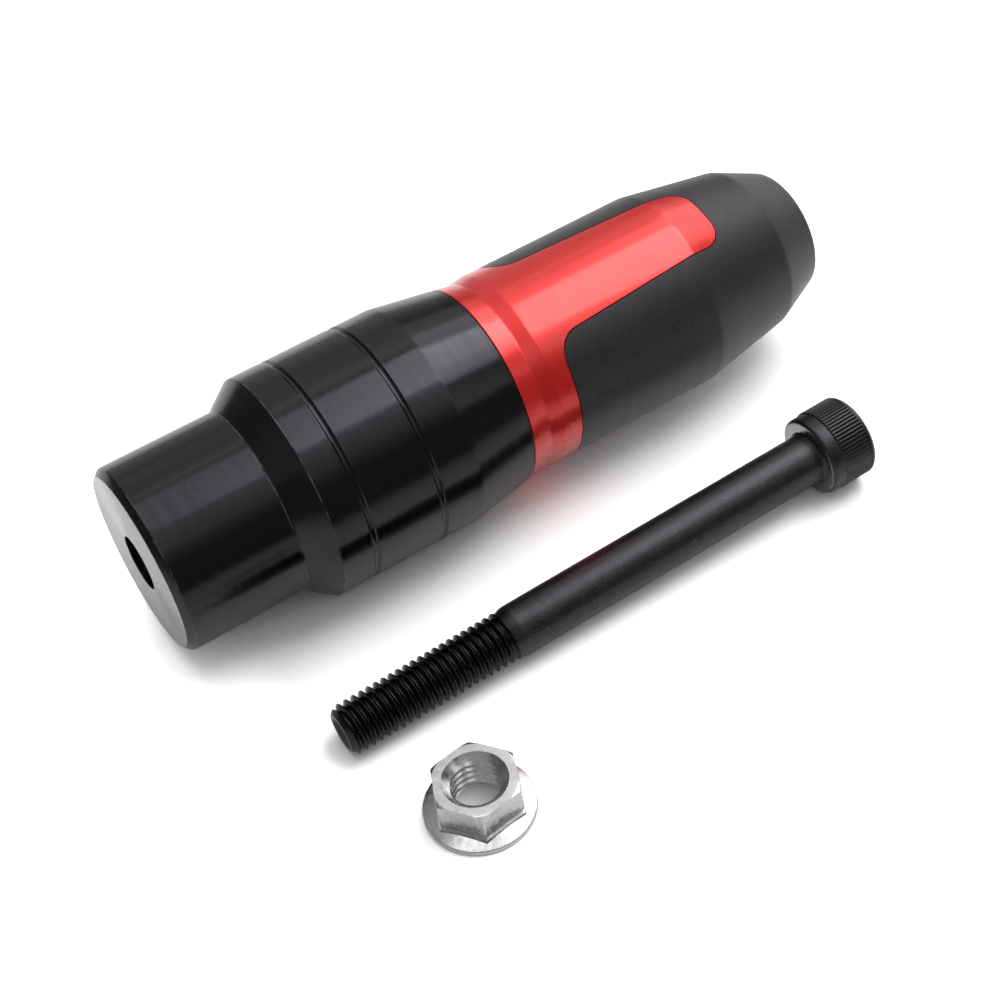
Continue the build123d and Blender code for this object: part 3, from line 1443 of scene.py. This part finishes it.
@dataclass(frozen=True)
class Panel:
    """A soft light panel: its centre and size in metres, and how bright it looks."""

    name: str
    centre: Place
    width: float
    height: float
    brightness: float

    def hang(self, target: Vector) -> Piece:
        """Hangs the panel, facing a target.

        Args:
            target: The point that the panel faces.

        Returns:
            The lamp.
        """
        clear_selection()
        bpy.ops.object.light_add(type="AREA", location=self.centre)
        lamp = bpy.context.active_object
        lamp.name = self.name
        lamp.data.shape = "RECTANGLE"
        lamp.data.size, lamp.data.size_y = self.width, self.height
        lamp.data.energy = self.brightness * math.pi * self.width * self.height
        lamp.rotation_euler = (Vector(self.centre) - target).to_track_quat("Z", "X").to_euler()
        return lamp


@dataclass
class Studio:
    """White table, soft panels and the camera at the photograph's viewing angle."""

    table_z: float = -22.0
    table_width: float = 6.0
    surroundings: float = 0.12
    target: Place = (0.07, -0.02, -0.02)
    panels: tuple[Panel, ...] = (
        Panel("soft_box", (0.61, -0.08, 1.0), 0.56, 0.78, 4.0),
        Panel("soft_box_edge", (0.23, 0.0, 1.0), 0.20, 1.0, 0.5),
        Panel("left_box", (-0.10, 0.0, 1.0), 0.44, 0.60, 1.2),
        Panel("front_strip", (0.75, -0.84, 1.0), 0.95, 0.44, 0.85),
        Panel("front_left", (0.02, -0.76, 1.0), 0.48, 0.30, 0.8),
        Panel("rear_strip", (0.95, 0.75, 1.0), 1.20, 0.70, 0.55),
        Panel("ceiling", (0.0, -0.1, 1.6), 5.0, 3.6, 0.22),
        Panel("back_wall", (0.5, 1.9, 0.75), 4.4, 1.2, 0.34),
        Panel("side_wall", (1.7, 0.5, 0.7), 2.6, 1.4, 1.15),
    )
    camera_place: Place = (-0.04967, -0.24230, 0.24104)
    camera_forward: Place = (0.31711, 0.63056, -0.70840)
    camera_up: Place = (0.45495, 0.55426, 0.69701)
    lens: float = 69.37

    def lay_table(self, white: Finish) -> Piece:
        """Lays the table top that the parts rest on.

        Args:
            white: Its finish.

        Returns:
            The table.
        """
        clear_selection()
        bpy.ops.mesh.primitive_plane_add(size=self.table_width, location=(0, 0, self.table_z * MM))
        table = bpy.context.active_object
        table.name = "table"
        table.data.materials.append(white)
        return table

    def light(self) -> None:
        """Hangs the panels and sets the dim surroundings."""
        for panel in self.panels:
            panel.hang(Vector(self.target))
        world = bpy.data.worlds.new("surroundings")
        world.use_nodes = True
        level = self.surroundings
        world.node_tree.nodes["Background"].inputs["Color"].default_value = (level, level, level, 1)
        bpy.context.scene.world = world
        bpy.context.scene.view_settings.view_transform = "Standard"

    def set_camera(self) -> Piece:
        """Puts the camera where the photograph was taken from.

        Returns:
            The camera.
        """
        forward = Vector(self.camera_forward).normalized()
        right = forward.cross(Vector(self.camera_up)).normalized()
        up = right.cross(forward)
        turned = Matrix((right, up, -forward)).transposed().to_4x4()
        clear_selection()
        bpy.ops.object.camera_add()
        camera = bpy.context.active_object
        camera.name = "camera"
        camera.matrix_world = Matrix.Translation(self.camera_place) @ turned
        camera.data.lens = self.lens
        camera.data.clip_start = 0.01
        bpy.context.scene.camera = camera
        return camera


def main() -> None:
    """Builds the slider, its screw and its nut over the frame, then the studio round them."""
    logging.basicConfig(level=logging.INFO, format="%(name)s: %(message)s")
    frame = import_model()
    log.info("frame holds %s", ", ".join(sorted(frame["nodes"])))

    base, plan = TurnedBase(), FingerPlan()
    screw, nut = MountingScrew(), FlangeNut()
    made = [
        base.build(BlackAnodised().mix(), BareFace().mix()),
        AccentRing(base, plan).build(RedAnodised().mix()),
        Nose(plan).build(NosePlastic().mix()),
        screw.build(
            BlackOxide(screw.lie()).mix(),
            BlackOxide(
                screw.lie(),
                "oiled_thread",
                colour=(0.0010, 0.0009, 0.0010),
                wear_and_glint=(0.003, 0.003, 0.003),
                polish=(0.14, 0.22),
                index=1.34,
            ).mix(),
            BrightZinc(
                screw.lie(), "worn_seat", (0.46, 0.44, 0.44), (0.32, 0.31, 0.31), (0.2, 0.32)
            ).mix(),
        ),
        nut.build(
            BrightZinc(nut.lie()).mix(),
            BrightZinc(
                nut.lie(), "cut_zinc", (0.74, 0.72, 0.72), (0.52, 0.50, 0.50), (0.16, 0.34)
            ).mix(),
        ),
    ]
    for piece in made:
        log.info("%s: %d faces", piece.name, len(piece.data.polygons))
    washer = frame["nodes"]["seat_washer"]
    washer.data.materials.clear()
    washer.data.materials.append(BrightZinc(name="washer_zinc").mix())

    studio = Studio()
    studio.lay_table(WhiteTable().mix())
    studio.light()
    studio.set_camera()


if __name__ == "__main__":
    main()
